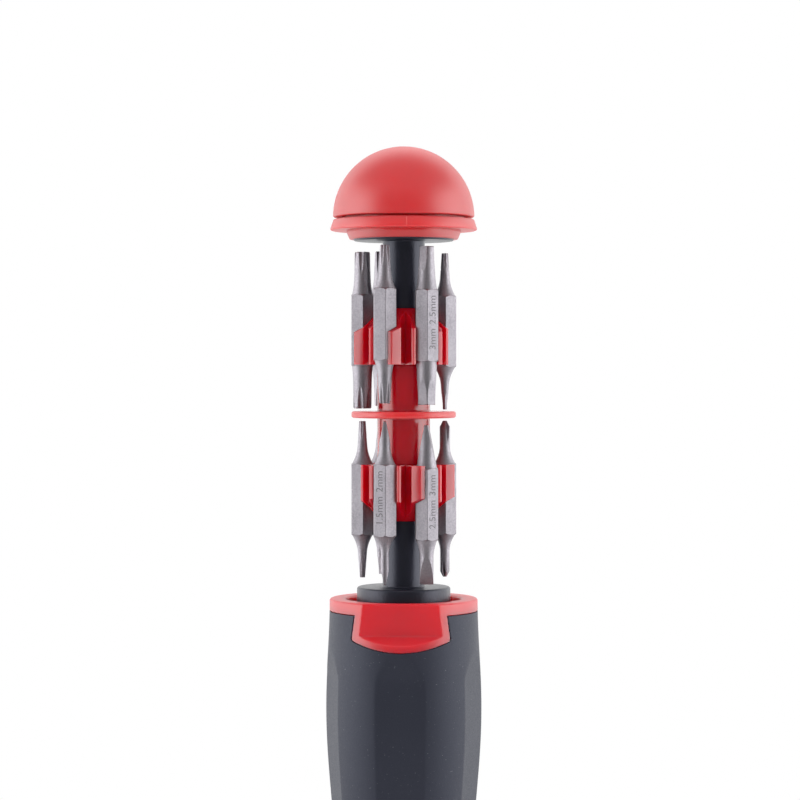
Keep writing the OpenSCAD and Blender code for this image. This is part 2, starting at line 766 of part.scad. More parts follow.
handle_core();
grip_sleeve();
driver_shaft();
socket_magnet();
driver_bit();
magazine_stem();
upper_bit_clip();
spacer_ring();
lower_bit_clip();
piston();
piston_screw();
piston_ring();
cap_base();
stem_screw();
dome_cap();
upper_bit(1);  // bit_upper_1
upper_bit(2);  // bit_upper_2
upper_bit(3);  // bit_upper_3
upper_bit(4);  // bit_upper_4
upper_bit(5);  // bit_upper_5
upper_bit(6);  // bit_upper_6
lower_bit(1);  // bit_lower_1
lower_bit(2);  // bit_lower_2
lower_bit(3);  // bit_lower_3
lower_bit(4);  // bit_lower_4
lower_bit(5);  // bit_lower_5
lower_bit(6);  // bit_lower_6
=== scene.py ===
# Pocket screwdriver with a pull-out magazine of double-ended bits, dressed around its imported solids.
# The axis is Z and the front, with the finger scoop, is -Y. Outlines are written in millimetres and
# turned into metres where a mesh is made.

import json
import math

import bmesh
import bpy
import numpy as np
from mathutils import Matrix, Vector

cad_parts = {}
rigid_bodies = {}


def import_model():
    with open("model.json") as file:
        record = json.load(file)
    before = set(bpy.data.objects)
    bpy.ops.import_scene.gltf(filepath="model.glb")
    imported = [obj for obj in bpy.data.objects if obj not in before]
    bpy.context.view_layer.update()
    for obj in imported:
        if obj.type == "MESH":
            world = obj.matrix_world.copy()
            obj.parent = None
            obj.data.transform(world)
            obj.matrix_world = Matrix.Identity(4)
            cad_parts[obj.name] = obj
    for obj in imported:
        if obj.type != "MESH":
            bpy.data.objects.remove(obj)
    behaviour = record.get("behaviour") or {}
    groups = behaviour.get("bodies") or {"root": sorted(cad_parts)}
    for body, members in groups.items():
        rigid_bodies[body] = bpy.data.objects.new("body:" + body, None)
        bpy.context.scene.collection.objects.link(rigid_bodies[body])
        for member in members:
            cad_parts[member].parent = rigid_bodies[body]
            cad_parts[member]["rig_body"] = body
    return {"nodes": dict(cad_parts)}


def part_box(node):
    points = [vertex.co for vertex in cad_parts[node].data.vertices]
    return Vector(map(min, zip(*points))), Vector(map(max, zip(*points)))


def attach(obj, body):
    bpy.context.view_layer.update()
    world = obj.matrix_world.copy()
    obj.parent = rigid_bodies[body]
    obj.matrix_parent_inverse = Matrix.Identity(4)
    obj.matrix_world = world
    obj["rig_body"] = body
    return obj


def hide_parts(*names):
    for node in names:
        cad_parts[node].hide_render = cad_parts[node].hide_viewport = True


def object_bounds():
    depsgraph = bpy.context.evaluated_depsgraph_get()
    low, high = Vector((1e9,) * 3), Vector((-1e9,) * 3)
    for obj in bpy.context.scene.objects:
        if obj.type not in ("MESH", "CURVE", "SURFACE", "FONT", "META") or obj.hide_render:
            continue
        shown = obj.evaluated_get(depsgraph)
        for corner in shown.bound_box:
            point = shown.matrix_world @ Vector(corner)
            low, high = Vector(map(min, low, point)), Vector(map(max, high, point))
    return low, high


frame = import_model()
cad_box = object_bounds()
nodes = frame["nodes"]
scene = bpy.context.scene
scene.view_settings.view_transform = "Standard"
MM = 0.001

# Camera at the photograph's place: a long lens half a metre away, level with the foot of the upper clip
# and a little to the right of the front.
EYE_DISTANCE = 451 * MM
EYE_HEIGHT = 136.3 * MM
EYE_AZIMUTH = math.radians(2.75)
EYE_DIP = math.radians(0.67)
EYE_YAW = math.radians(0.085)
camera = bpy.data.objects.new("camera", bpy.data.cameras.new("camera"))
camera.data.lens = 111.6
camera.data.sensor_width = 36
camera.data.clip_start = 10 * MM
camera.location = (
    EYE_DISTANCE * math.sin(EYE_AZIMUTH),
    -EYE_DISTANCE * math.cos(EYE_AZIMUTH),
    EYE_HEIGHT,
)
camera.rotation_euler = (math.pi / 2 - EYE_DIP, 0, EYE_AZIMUTH + EYE_YAW)
scene.collection.objects.link(camera)
scene.camera = camera


# Driver shaft: a turned steel rod with a bright plated skin and a hexagon socket in its lower end.
# The moulding of the handle grips its lugged root. A magnet pressed into the socket holds the bit.
class Shade:
    """A shader socket that takes part in sums: an expression on shades adds its Math nodes."""

    def __init__(self, finish, socket):
        self.finish = finish
        self.socket = socket

    def math(self, operation, first, second):
        return self.finish.node("ShaderNodeMath", {"operation": operation}, {0: first, 1: second})

    def __add__(self, other):
        return self.math("ADD", self, other)

    def __radd__(self, other):
        return self.math("ADD", other, self)

    def __sub__(self, other):
        return self.math("SUBTRACT", self, other)

    def __rsub__(self, other):
        return self.math("SUBTRACT", other, self)

    def __mul__(self, other):
        return self.math("MULTIPLY", self, other)

    def __rmul__(self, other):
        return self.math("MULTIPLY", other, self)


class Finish:
    """A node tree that grows one node at a time: a material with its Principled shader, or the world's."""

    def __init__(self, owner):
        owner.use_nodes = True
        self.owner = owner
        self.tree = owner.node_tree
        self.shader = self.tree.nodes.get("Principled BSDF")

    def node(self, kind, settings, sockets, output=0):
        made = self.tree.nodes.new(kind)
        for name, value in settings.items():
            if name == "stops":
                ramp = made.color_ramp.elements
                while len(ramp) < len(value):
                    ramp.new(1)
                for stop, (place, level) in zip(ramp, value):
                    stop.position = place
                    stop.color = (level, level, level, 1)
            else:
                setattr(made, name, value)
        for key, value in sockets.items():
            self.feed(made.inputs[key], value)
        return Shade(self, made.outputs[output])

    def feed(self, socket, value):
        if isinstance(value, Shade):
            self.tree.links.new(value.socket, socket)
        else:
            socket.default_value = value

    def place(self, stretch=(1, 1, 1)):
        """Coordinates of the object's own frame in millimetres, stretched along its axes."""
        here = self.node("ShaderNodeTexCoord", {}, {}, "Object")
        scale = tuple(s / MM for s in stretch)
        return self.node("ShaderNodeVectorMath", {"operation": "MULTIPLY"}, {0: here, 1: scale})

    def noise(self, place, size, detail=2.0, contrast=(0.0, 1.0)):
        """Cloudy noise whose blotches are about size millimetres wide, with its contrast drawn out."""
        cloud = self.node(
            "ShaderNodeTexNoise", {}, {"Vector": place, "Scale": 0.5 / size, "Detail": detail}
        )
        stops = [(contrast[0], 0), (contrast[1], 1)]
        return self.node("ShaderNodeValToRGB", {"stops": stops}, {"Fac": cloud})

    def mix(self, amount, first, second):
        """Colour between two colours."""
        return self.node(
            "ShaderNodeMix", {"data_type": "RGBA"}, {0: amount, 6: first, 7: second}, 2
        )

    def bump(self, height, depth):
        """Normal over a height field that is depth millimetres deep."""
        return self.node("ShaderNodeBump", {}, {"Strength": 1.0, "Distance": depth * MM, "Height": height})

    def wear(self, **sockets):
        """Sets the Principled shader's own sockets, with _ for a space in a name."""
        for name, value in sockets.items():
            self.feed(self.shader.inputs[name.replace("_", " ")], value)
        return self.owner


def turned_steel(name, colour, shadow, gloss):
    """Bright turned metal with fine rings around the axis."""
    finish = Finish(bpy.data.materials.new(name))
    around = (0.02, 0.02, 1)
    rings = finish.noise(finish.place(around), size=0.09, detail=3, contrast=(0.3, 0.7))
    cloud = finish.noise(finish.place(), size=4, detail=3, contrast=(0.35, 0.65))
    return finish.wear(
        Base_Color=finish.mix(cloud, colour, shadow),
        Metallic=1.0,
        Roughness=gloss + 0.1 * rings,
        Normal=finish.bump(rings, depth=0.002),
    )


def dress(node, material):
    """Gives a CAD node its finish."""
    nodes[node].data.materials.clear()
    nodes[node].data.materials.append(material)


dress("driver_shaft", turned_steel(
    "plated_shaft", colour=(0.62, 0.62, 0.64, 1), shadow=(0.52, 0.52, 0.55, 1), gloss=0.2,
))
dress("socket_magnet", turned_steel(
    "magnet_plating", colour=(0.5, 0.48, 0.45, 1), shadow=(0.42, 0.4, 0.38, 1), gloss=0.28,
))


# Hard core of the handle: one red moulding with a tube, a nose around the shaft's root and a collar at
# the mouth. Two panels run down from the collar's band, each hollowed by a scoop for a fingertip.
HANDLE_LEN = 95.0
MOUTH_R = 10.46
BORE_R = 10.4
LIP_R = 9.85
CORE_R = 11.4
COLLAR_R = 13.46
SWELL_Z, SWELL_R = 75.0, 14.16
WAIST_Z, WAIST_R = 44.0, 12.46
GUARD_Z, GUARD_R = 15.0, 13.26
TAPER_Z = -GUARD_Z / 3
NOSE_R, NOSE_H = 9.2, 2.0
NOSE_CHAMFER, NOSE_CHAMFER_H = 1.0, 0.6
BAND_Z = HANDLE_LEN - 2.2
PANEL_LOW_Z = HANDLE_LEN - 6.7
PANEL_SAG = 1.9
PANEL_HALF_TOP, PANEL_HALF_LOW = 8.3, 8.9
PANEL_CORNER = 0.4
SCOOP_Z = HANDLE_LEN - 5.8
SCOOP_SLOPE_H, SCOOP_SLOPE_OUT = 1.6, 2.3
SCOOP_FLAT = COLLAR_R - 1.8
SCOOP_LEAN = 0.25
SCOOP_FOOT_BLEND, SCOOP_EDGE, CORE_EDGE = 0.3, 0.1, 0.14
COLUMNS = 480
FINE_STEP = 0.1
WELD = 1e-7


def ease(z, z0, r0, z1, r1):
    """Radius that runs smoothly from one height's radius to the next one's."""
    return r0 + (r1 - r0) * (1 - np.cos(math.pi * (z - z0) / (z1 - z0))) / 2


def handle_r(z):
    """Radius of the handle's outer form at a height."""
    return np.select(
        [z > SWELL_Z, z > WAIST_Z, z > GUARD_Z],
        [
            ease(z, SWELL_Z, SWELL_R, HANDLE_LEN, COLLAR_R),
            ease(z, WAIST_Z, WAIST_R, SWELL_Z, SWELL_R),
            ease(z, GUARD_Z, GUARD_R, WAIST_Z, WAIST_R),
        ],
        ease(z, TAPER_Z, NOSE_R - NOSE_CHAMFER, GUARD_Z, GUARD_R),
    )


def panel_depth(angle, z):
    """How far a point of the handle lies inside the red outline of band and panels, in millimetres."""
    x = np.abs(handle_r(z) * np.sin(angle))
    fall = np.clip((BAND_Z - z) / (BAND_Z - PANEL_LOW_Z), 0, 1)
    side = PANEL_HALF_TOP + (PANEL_HALF_LOW - PANEL_HALF_TOP) * fall - x
    arc_r = (PANEL_HALF_LOW**2 + PANEL_SAG**2) / (2 * PANEL_SAG)
    foot = arc_r - np.hypot(x, z - (PANEL_LOW_Z - PANEL_SAG + arc_r))
    short_side, short_foot = np.maximum(PANEL_CORNER - side, 0), np.maximum(PANEL_CORNER - foot, 0)
    return np.maximum(PANEL_CORNER - np.hypot(short_side, short_foot), z - BAND_Z)


def edge_drop(depth, radius):
    """Fall of a rounded edge at a depth inside its outline, and of the wall beyond it."""
    wall_slope = 20
    inside = np.clip(radius - depth, 0, radius)
    return radius - np.sqrt(radius**2 - inside**2) + np.maximum(-depth, 0) * wall_slope


def soft_min(first, second, blend):
    """The lower of two surfaces, with the edge between them rounded over."""
    near = np.maximum(blend - np.abs(first - second), 0) / blend
    return np.minimum(first, second) - near * near * blend / 4


def scoop_reach(angle, z):
    """Distance from the axis to the scoops' hollow, which is flat across and slopes out at its foot."""
    flat = SCOOP_FLAT - SCOOP_LEAN * (HANDLE_LEN - z) / (HANDLE_LEN - SCOOP_Z)
    slope = SCOOP_FLAT - SCOOP_LEAN + (SCOOP_Z - z) * SCOOP_SLOPE_OUT / SCOOP_SLOPE_H
    depth = -soft_min(-flat, -slope, SCOOP_FOOT_BLEND)
    least_cosine = 0.05
    return depth / np.maximum(np.abs(np.cos(angle)), least_cosine)


def core_r(angle, z):
    """Outer radius of the core: proud and rounded inside its outline, sunk under the sleeve elsewhere."""
    skin = handle_r(z) - edge_drop(panel_depth(angle, z), CORE_EDGE)
    return np.maximum(soft_min(skin, scoop_reach(angle, z), SCOOP_EDGE), CORE_R)


def rounded(corners, steps=6):
    """Points of an outline whose corners are (x, y) or (x, y, radius of the corner)."""
    points = []
    for i, corner in enumerate(corners):
        here = Vector(corner[:2])
        if len(corner) == 2:
            points.append(here)
            continue
        before = (Vector(corners[i - 1][:2]) - here).normalized()
        after = (Vector(corners[(i + 1) % len(corners)][:2]) - here).normalized()
        half = before.angle(after) / 2
        centre = here + (before + after).normalized() * (corner[2] / math.sin(half))
        start = here + before * (corner[2] / math.tan(half)) - centre
        end = here + after * (corner[2] / math.tan(half)) - centre
        sweep = math.atan2(start.x * end.y - start.y * end.x, start.dot(end))
        for k in range(steps + 1):
            turn = Matrix.Rotation(sweep * k / steps, 2)
            points.append(centre + turn @ start)
    return np.array([tuple(p) for p in points])


def link_piece(name, mesh, sharp=38):
    """Object of a mesh with doubled points merged, normals outward and creases past an angle kept sharp."""
    work = bmesh.new()
    work.from_mesh(mesh)
    bmesh.ops.remove_doubles(work, verts=work.verts, dist=WELD)
    loose = [e for e in work.edges if not e.link_faces]
    bmesh.ops.delete(work, geom=loose, context="EDGES")
    bmesh.ops.recalc_face_normals(work, faces=work.faces)
    work.to_mesh(mesh)
    work.free()
    mesh.shade_smooth()
    mesh.set_sharp_from_angle(angle=math.radians(sharp))
    piece = bpy.data.objects.new(name, mesh)
    scene.collection.objects.link(piece)
    return piece


def skin_piece(name, radius, height, angle, keep=None):
    """Piece from a grid of radius and height over columns of angle, closed on itself both ways."""
    columns, points = radius.shape
    turn = np.broadcast_to(angle[:, None], radius.shape)
    spots = np.stack([radius * np.sin(turn), -radius * np.cos(turn), height], -1) * MM
    first = np.arange(columns * points).reshape(columns, points)
    beside = np.roll(first, -1, 0)
    faces = np.stack([first, beside, np.roll(beside, -1, 1), np.roll(first, -1, 1)], -1)
    faces = faces.reshape(-1, 4) if keep is None else faces[keep]
    mesh = bpy.data.meshes.new(name)
    mesh.from_pydata(spots.reshape(-1, 3).tolist(), [], faces.tolist())
    return link_piece(name, mesh)


def turned_piece(name, outline, columns=160):
    """Solid of revolution about the axis."""
    angle = np.linspace(0, 2 * math.pi, columns, endpoint=False)
    radius = np.broadcast_to(outline[:, 0], (columns, len(outline)))
    height = np.broadcast_to(outline[:, 1], (columns, len(outline)))
    return skin_piece(name, radius, height, angle)


def settle(piece, node, material):
    """The piece takes the place of a CAD node, rides on its body and takes its finish."""
    piece.data.materials.append(material)
    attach(piece, nodes[node]["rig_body"])
    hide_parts(node)


def red_plastic(name, colour, deep, gloss, grain):
    """Red moulding: a little uneven in colour, with the fine eroded texture of its mould."""
    finish = Finish(bpy.data.materials.new(name))
    place = finish.place()
    cloud = finish.noise(place, size=5, detail=3, contrast=(0.3, 0.7))
    texture = finish.noise(place, size=0.11, detail=2, contrast=(0.25, 0.75))
    return finish.wear(
        Base_Color=finish.mix(cloud, colour, deep),
        Roughness=gloss + 0.08 * texture,
        Specular_IOR_Level=1.0,
        Subsurface_Weight=1.0,
        Subsurface_Radius=(1, 0.04, 0.06),
        Subsurface_Scale=4 * MM,
        Normal=finish.bump(texture, grain),
    )


moulded_red = red_plastic(
    "moulded_red", colour=(0.78, 0.015, 0.030, 1), deep=(0.74, 0.012, 0.026, 1), gloss=0.33, grain=0.004,
)

rim_round, lip_round = 0.4, 0.15
root_r, root_top = 2.82, 15.02
chamber_z, lip_z, mouth_z = 18.4, 90.0, 91.5
inside = rounded([
    (COLLAR_R, HANDLE_LEN), (MOUTH_R, HANDLE_LEN, rim_round), (MOUTH_R, mouth_z),
    (LIP_R, mouth_z, lip_round), (LIP_R, lip_z), (BORE_R, lip_z), (BORE_R, chamber_z),
    (0, chamber_z), (0, root_top), (root_r, root_top), (root_r, 0),
    (NOSE_R - NOSE_CHAMFER, 0), (NOSE_R, NOSE_CHAMFER_H), (NOSE_R, NOSE_H), (CORE_R, GUARD_Z),
])[1:]
angle = np.linspace(0, 2 * math.pi, COLUMNS, endpoint=False)
plain_foot, plain_top, plain_step, panel_foot = 16, 86, 10, 86.2
plain_rows = np.arange(plain_foot, plain_top, plain_step)
rows = np.concatenate([plain_rows, np.arange(panel_foot, HANDLE_LEN - rim_round, FINE_STEP)])
outer = core_r(angle[:, None], rows[None, :])
arc = np.linspace(0, math.pi / 2, 7)[None, :]
top = core_r(angle[:, None], np.array([[HANDLE_LEN - rim_round]]))
rim = top - rim_round * (1 - np.cos(arc))
radius = np.concatenate([outer, rim, np.broadcast_to(inside[:, 0], (COLUMNS, len(inside)))], 1)
heights = np.concatenate([rows, HANDLE_LEN - rim_round * (1 - np.sin(arc[0])), inside[:, 1]])
core = skin_piece("handle_core_moulding", radius, np.broadcast_to(heights, radius.shape), angle)
settle(core, "handle_core", moulded_red)


# Soft sleeve: dark grey rubber-like plastic moulded over the core, with five flats along its swell so that
# it doesn't roll. It ends against the collar's band and around the panels with a small rounded edge.
FLATS = 5
FLAT_HALF_ANGLE = math.radians(18.3)
FLAT_TOP_Z, FLAT_FOOT_Z, FLAT_FADE = 85.8, 24.0, 4.5
SLEEVE_FOOT_Z = 2.02
SLEEVE_EDGE, FLAT_EDGE = 0.1, 0.07
LEAST_WALL = 1e-6
FIT_GAP = 0.02


def sleeve_r(angle, z):
    """Outer radius of the sleeve with its flats."""
    form = handle_r(z)
    share = np.minimum(np.minimum((FLAT_TOP_Z - z) / FLAT_FADE, (z - FLAT_FOOT_Z) / FLAT_FADE), 1)
    floor = form * (1 - (1 - math.cos(FLAT_HALF_ANGLE)) * share)
    pitch = 2 * math.pi / FLATS
    turn = (angle + pitch / 2) % pitch - pitch / 2
    return soft_min(form, floor / np.cos(turn), FLAT_EDGE)


def sleeve_bore(z):
    """Inner radius of the sleeve, just clear of the core."""
    return np.interp(z, [NOSE_H, GUARD_Z], [NOSE_R, CORE_R]) + FIT_GAP


grip_top, grip_step, edge_foot, edge_over = 85.6, 0.75, 85.8, 0.2
grip_rows = np.arange(SLEEVE_FOOT_Z, grip_top, grip_step)
rows = np.concatenate([grip_rows, np.arange(edge_foot, BAND_Z + edge_over, FINE_STEP)])
bore = np.broadcast_to(sleeve_bore(rows), (COLUMNS, len(rows)))
outer = sleeve_r(angle[:, None], rows[None, :])
clear = -panel_depth(angle[:, None], rows[None, :]) - FIT_GAP
outer = np.maximum(outer - edge_drop(clear, SLEEVE_EDGE), bore)
foot_round = 1.2
foot = np.clip(SLEEVE_FOOT_Z + foot_round - rows, 0, foot_round)
outer = np.maximum(outer - foot_round + np.sqrt(foot_round**2 - foot**2), bore)
radius = np.concatenate([outer, bore[:, ::-1]], 1)
heights = np.concatenate([rows, rows[::-1]])
wall = outer - bore
thick = np.concatenate([wall, wall[:, ::-1]], 1) > LEAST_WALL
beside = np.roll(thick, -1, 0)
keep = thick | beside | np.roll(thick, -1, 1) | np.roll(beside, -1, 1)
sleeve = skin_piece("grip_sleeve_rubber", radius, np.broadcast_to(heights, radius.shape), angle, keep)

rubber = Finish(bpy.data.materials.new("soft_rubber"))
place = rubber.place()
grain = rubber.noise(place, size=0.12, detail=3, contrast=(0.3, 0.7))
cloud = rubber.noise(place, size=9, detail=4, contrast=(0.35, 0.65))
dust = rubber.noise(place, size=0.14, detail=1, contrast=(0.73, 0.8))
base = rubber.mix(cloud, (0.018, 0.020, 0.033, 1), (0.022, 0.024, 0.038, 1))
rubber.wear(
    Base_Color=rubber.mix(0.35 * dust, base, (0.3, 0.31, 0.33, 1)),
    Specular_IOR_Level=0.52,
    Specular_Tint=(0.82, 0.86, 1, 1),
    Roughness=0.46 + 0.16 * grain,
    Normal=rubber.bump(grain, depth=0.006),
)
settle(sleeve, "grip_sleeve", rubber.owner)


# Magazine's black mouldings: the piston with its lower neck, and the stem with the head disc, the upper neck
# and the spindle that threads through the clips. A screw from below draws the stack together.
def black_plastic(name, colour, gloss):
    """Black moulding with a fine satin grain."""
    finish = Finish(bpy.data.materials.new(name))
    place = finish.place()
    grain = finish.noise(place, size=0.18, detail=2, contrast=(0.3, 0.7))
    cloud = finish.noise(place, size=3, detail=3, contrast=(0.35, 0.65))
    fading = 1.3
    pale = tuple(c * fading for c in colour[:3]) + (1,)
    return finish.wear(
        Base_Color=finish.mix(cloud, colour, pale),
        Roughness=gloss + 0.1 * grain,
        Specular_IOR_Level=0.6,
        Specular_Tint=(0.84, 0.86, 1, 1),
        Normal=finish.bump(grain, depth=0.012),
    )


satin_black = black_plastic("satin_black", colour=(0.010, 0.011, 0.019, 1), gloss=0.28)
STOP_Z = 89.9
FLANGE_GAP, FLANGE_H = 0.12, 3.6
FLANGE_R, FLANGE_FOOT = BORE_R - FLANGE_GAP, STOP_Z - FLANGE_H
PISTON_R, PISTON_H, PISTON_EDGE = 8.5, 7.2, 0.45
PISTON_TOP = STOP_Z + PISTON_H
NECK_R, LOWER_NECK_H, NECK_EDGE, NECK_FILLET = 3.82, 12.08, 0.1, 0.3
NECK_TOP = PISTON_TOP + LOWER_NECK_H
SPINDLE_R = 3.0
FOOT_EDGE, FINE_EDGE = 0.2, 0.15
groove_r, groove_half = 8.4, 1.0
groove_foot, groove_top = STOP_Z - FLANGE_H / 2 - groove_half, STOP_Z - FLANGE_H / 2 + groove_half
screw_bore, head_bore = 1.27, 2.22
screw_seat, spindle_foot = FLANGE_FOOT + 1.42, FLANGE_FOOT + 1.88
piston = turned_piece("piston_moulding", rounded([
    (head_bore, FLANGE_FOOT), (FLANGE_R, FLANGE_FOOT, FOOT_EDGE),
    (FLANGE_R, groove_foot), (groove_r, groove_foot), (groove_r, groove_top), (FLANGE_R, groove_top),
    (FLANGE_R, STOP_Z, FINE_EDGE), (PISTON_R, STOP_Z), (PISTON_R, PISTON_TOP, PISTON_EDGE),
    (NECK_R, PISTON_TOP, NECK_FILLET), (NECK_R, NECK_TOP, NECK_EDGE), (SPINDLE_R + FIT_GAP, NECK_TOP),
    (SPINDLE_R + FIT_GAP, spindle_foot), (screw_bore, spindle_foot),
    (screw_bore, screw_seat), (head_bore, screw_seat),
]))
settle(piston, "piston", satin_black)

HEAD_R, HEAD_Z, HEAD_H, HEAD_EDGE = 9.1, 159.9, 2.1, 0.3
UPPER_NECK_H = 12.28
neck_foot = HEAD_Z - UPPER_NECK_H
lower_hole_end, upper_hole_end = spindle_foot + 9, HEAD_Z - 6.9
stem = turned_piece("magazine_stem_moulding", rounded([
    (0, lower_hole_end), (screw_bore, lower_hole_end), (screw_bore, spindle_foot + FIT_GAP),
    (SPINDLE_R, spindle_foot + FIT_GAP, FOOT_EDGE), (SPINDLE_R, neck_foot), (NECK_R, neck_foot, NECK_EDGE),
    (NECK_R, HEAD_Z, NECK_FILLET), (HEAD_R, HEAD_Z, HEAD_EDGE), (HEAD_R, HEAD_Z + HEAD_H, FINE_EDGE),
    (screw_bore, HEAD_Z + HEAD_H), (screw_bore, upper_hole_end), (0, upper_hole_end),
]))
settle(stem, "magazine_stem", satin_black)

dress("piston_ring", black_plastic("ring_rubber", colour=(0.012, 0.012, 0.013, 1), gloss=0.55))
zinc = turned_steel("zinc_screw", colour=(0.6, 0.6, 0.6, 1), shadow=(0.45, 0.45, 0.47, 1), gloss=0.3)
dress("piston_screw", zinc)
dress("stem_screw", zinc)


# Clips and spacer: glossy red mouldings on the spindle. Each clip holds six bits, each between a long and a
# short springy finger, and the tube between the clips carries a thin ring. The ring is painted in the cap's
# paler satin red, a painted highlight for the side light that its rounded edge catches.
glossy_red = red_plastic(
    "glossy_red", colour=(0.61, 0.003, 0.016, 1), deep=(0.56, 0.003, 0.014, 1), gloss=0.14, grain=0.001,
)
LEVEL_ANGLE, CREASE_ANGLE = math.radians(1), math.radians(25)


def eased_piece(name, node, width, least=0.0, sharp=30):
    """Copy of a CAD node whose creased edges, from a least length up, are rounded over."""
    mesh = nodes[node].data.copy()
    mesh.name = name
    mesh.transform(nodes[node].matrix_world)
    mesh.materials.clear()
    work = bmesh.new()
    work.from_mesh(mesh)
    bmesh.ops.remove_doubles(work, verts=work.verts, dist=WELD)
    bmesh.ops.dissolve_limit(work, angle_limit=LEVEL_ANGLE, verts=work.verts, edges=work.edges)
    creases = [
        e for e in work.edges
        if len(e.link_faces) == 2
        and e.calc_face_angle() > CREASE_ANGLE
        and e.calc_length() >= least * MM
    ]
    bmesh.ops.bevel(
        work, geom=creases, offset=width * MM, offset_type="OFFSET", segments=3, profile=0.5,
        affect="EDGES", clamp_overlap=True,
    )
    work.to_mesh(mesh)
    work.free()
    return link_piece(name, mesh, sharp)


for tier in ("upper", "lower"):
    clip = eased_piece(f"{tier}_clip_moulding", f"{tier}_bit_clip", width=0.12)
    settle(clip, f"{tier}_bit_clip", glossy_red)

RING_Z, RING_R, RING_H, RING_EDGE, RING_FILLET = 128.4, 9.5, 1.2, 0.4, 0.3
SPACER_R, SPACER_HALF = 4.8, 9.03
ring_foot, ring_top = RING_Z - RING_H / 2, RING_Z + RING_H / 2
tube_foot, tube_top = RING_Z - SPACER_HALF, RING_Z + SPACER_HALF
spacer = turned_piece("spacer_ring_moulding", rounded([
    (SPINDLE_R + FIT_GAP, tube_foot), (SPACER_R, tube_foot, FINE_EDGE),
    (SPACER_R, ring_foot, RING_FILLET), (RING_R, ring_foot, RING_EDGE),
    (RING_R, ring_top, RING_EDGE), (SPACER_R, ring_top, RING_FILLET),
    (SPACER_R, tube_top, FINE_EDGE), (SPINDLE_R + FIT_GAP, tube_top),
]))
settle(spacer, "spacer_ring", glossy_red)
cap_red = red_plastic(
    "cap_red", colour=(0.79, 0.034, 0.039, 1), deep=(0.75, 0.030, 0.035, 1), gloss=0.34, grain=0.004,
)
# Painted highlight: the ring's faces, out past halfway from tube to rim, take the cap's paler red instead of
# the tube's.
spacer.data.materials.append(cap_red)
for face in spacer.data.polygons:
    face.material_index = int(face.center.xy.length > (SPACER_R + RING_R) / 2 * MM)


# Bits: double-ended, ground from hardened 4 mm hexagon steel with a dull blasted skin. Twelve snap into the
# clips, and one more sits in the shaft's socket.
bit_steel = Finish(bpy.data.materials.new("bit_steel"))
place = bit_steel.place()
blast = bit_steel.noise(place, size=0.16, detail=3, contrast=(0.3, 0.7))
stain = bit_steel.noise(place, size=1.6, detail=4, contrast=(0.35, 0.7))
clean, stained = (0.38, 0.361, 0.394, 1), (0.276, 0.262, 0.287, 1)
bit_steel.wear(
    Base_Color=bit_steel.mix(0.5 * stain + 0.45 * blast, clean, stained),
    Metallic=1.0,
    Roughness=0.46 + 0.14 * blast,
    Normal=bit_steel.bump(blast, depth=0.008),
)
BITS = [name for name in nodes if name.startswith("bit_")] + ["driver_bit"]
for name in BITS:
    bit = eased_piece(f"{name}_ground", name, width=0.07, least=5, sharp=14)
    settle(bit, name, bit_steel.owner)


# Size marks: the sizes of both ends, cut in thin plain strokes up the outer face of the bits that are sold
# by millimetres. Each stroke is a dull grey steel line, a few microns off the face, and goes with its bit.
MARK_SIZE = 1.9
MARK_LIFT = 0.004
BIT_HALF = 2.0
MARK_SPOTS = {"lower": ("LEFT", 2.1), "upper": ("RIGHT", 11.9)}
MARKS = {
    "bit_upper_3": ("3mm", "2.5mm", 137.95),
    "bit_upper_5": ("2mm", "1.5mm", 137.5),
    "bit_lower_2": ("1.5mm", "2mm", 106.6),
    "bit_lower_3": ("2.5mm", "3mm", 105.9),
    "bit_lower_6": ("0.9mm", "1.3mm", 106.6),
}
etched = Finish(bpy.data.materials.new("etched_steel"))
scratch = etched.noise(etched.place(), size=0.06, detail=2, contrast=(0.3, 0.7))
etched.wear(
    Base_Color=etched.mix(scratch, (0.15, 0.143, 0.155, 1), (0.2, 0.19, 0.206, 1)),
    Metallic=1.0,
    Roughness=0.55 + 0.15 * scratch,
)


def size_mark(name, words, side, spot, out):
    """Flat strokes of a word that reads upward, to one side of a spot on a face that looks outward."""
    letters = bpy.data.curves.new(name, "FONT")
    letters.body = words
    letters.size = MARK_SIZE * MM
    letters.extrude = MARK_LIFT * MM
    letters.align_x, letters.align_y = side, "CENTER"
    stencil = bpy.data.objects.new(name, letters)
    scene.collection.objects.link(stencil)
    bpy.context.view_layer.update()
    ready = stencil.evaluated_get(bpy.context.evaluated_depsgraph_get())
    mesh = bpy.data.meshes.new_from_object(ready)
    bpy.data.objects.remove(stencil)
    left = Vector((out.y, -out.x, 0))
    turn = Matrix((Vector((0, 0, 1)), left, out)).transposed().to_4x4()
    mesh.transform(Matrix.Translation(spot) @ turn)
    return link_piece(name, mesh)


for bit, (lower, upper, foot_z) in MARKS.items():
    low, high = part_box(bit)
    axis = Vector(((low.x + high.x) / 2, (low.y + high.y) / 2, foot_z * MM))
    out = Vector((axis.x, axis.y, 0)).normalized()
    for end, words in {"lower": lower, "upper": upper}.items():
        side, height = MARK_SPOTS[end]
        spot = axis + out * BIT_HALF * MM + Vector((0, 0, height * MM))
        stroke = size_mark(f"{bit}_{end}_size", words, side, spot, out)
        stroke.data.materials.append(etched.owner)
        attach(stroke, nodes[bit]["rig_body"])


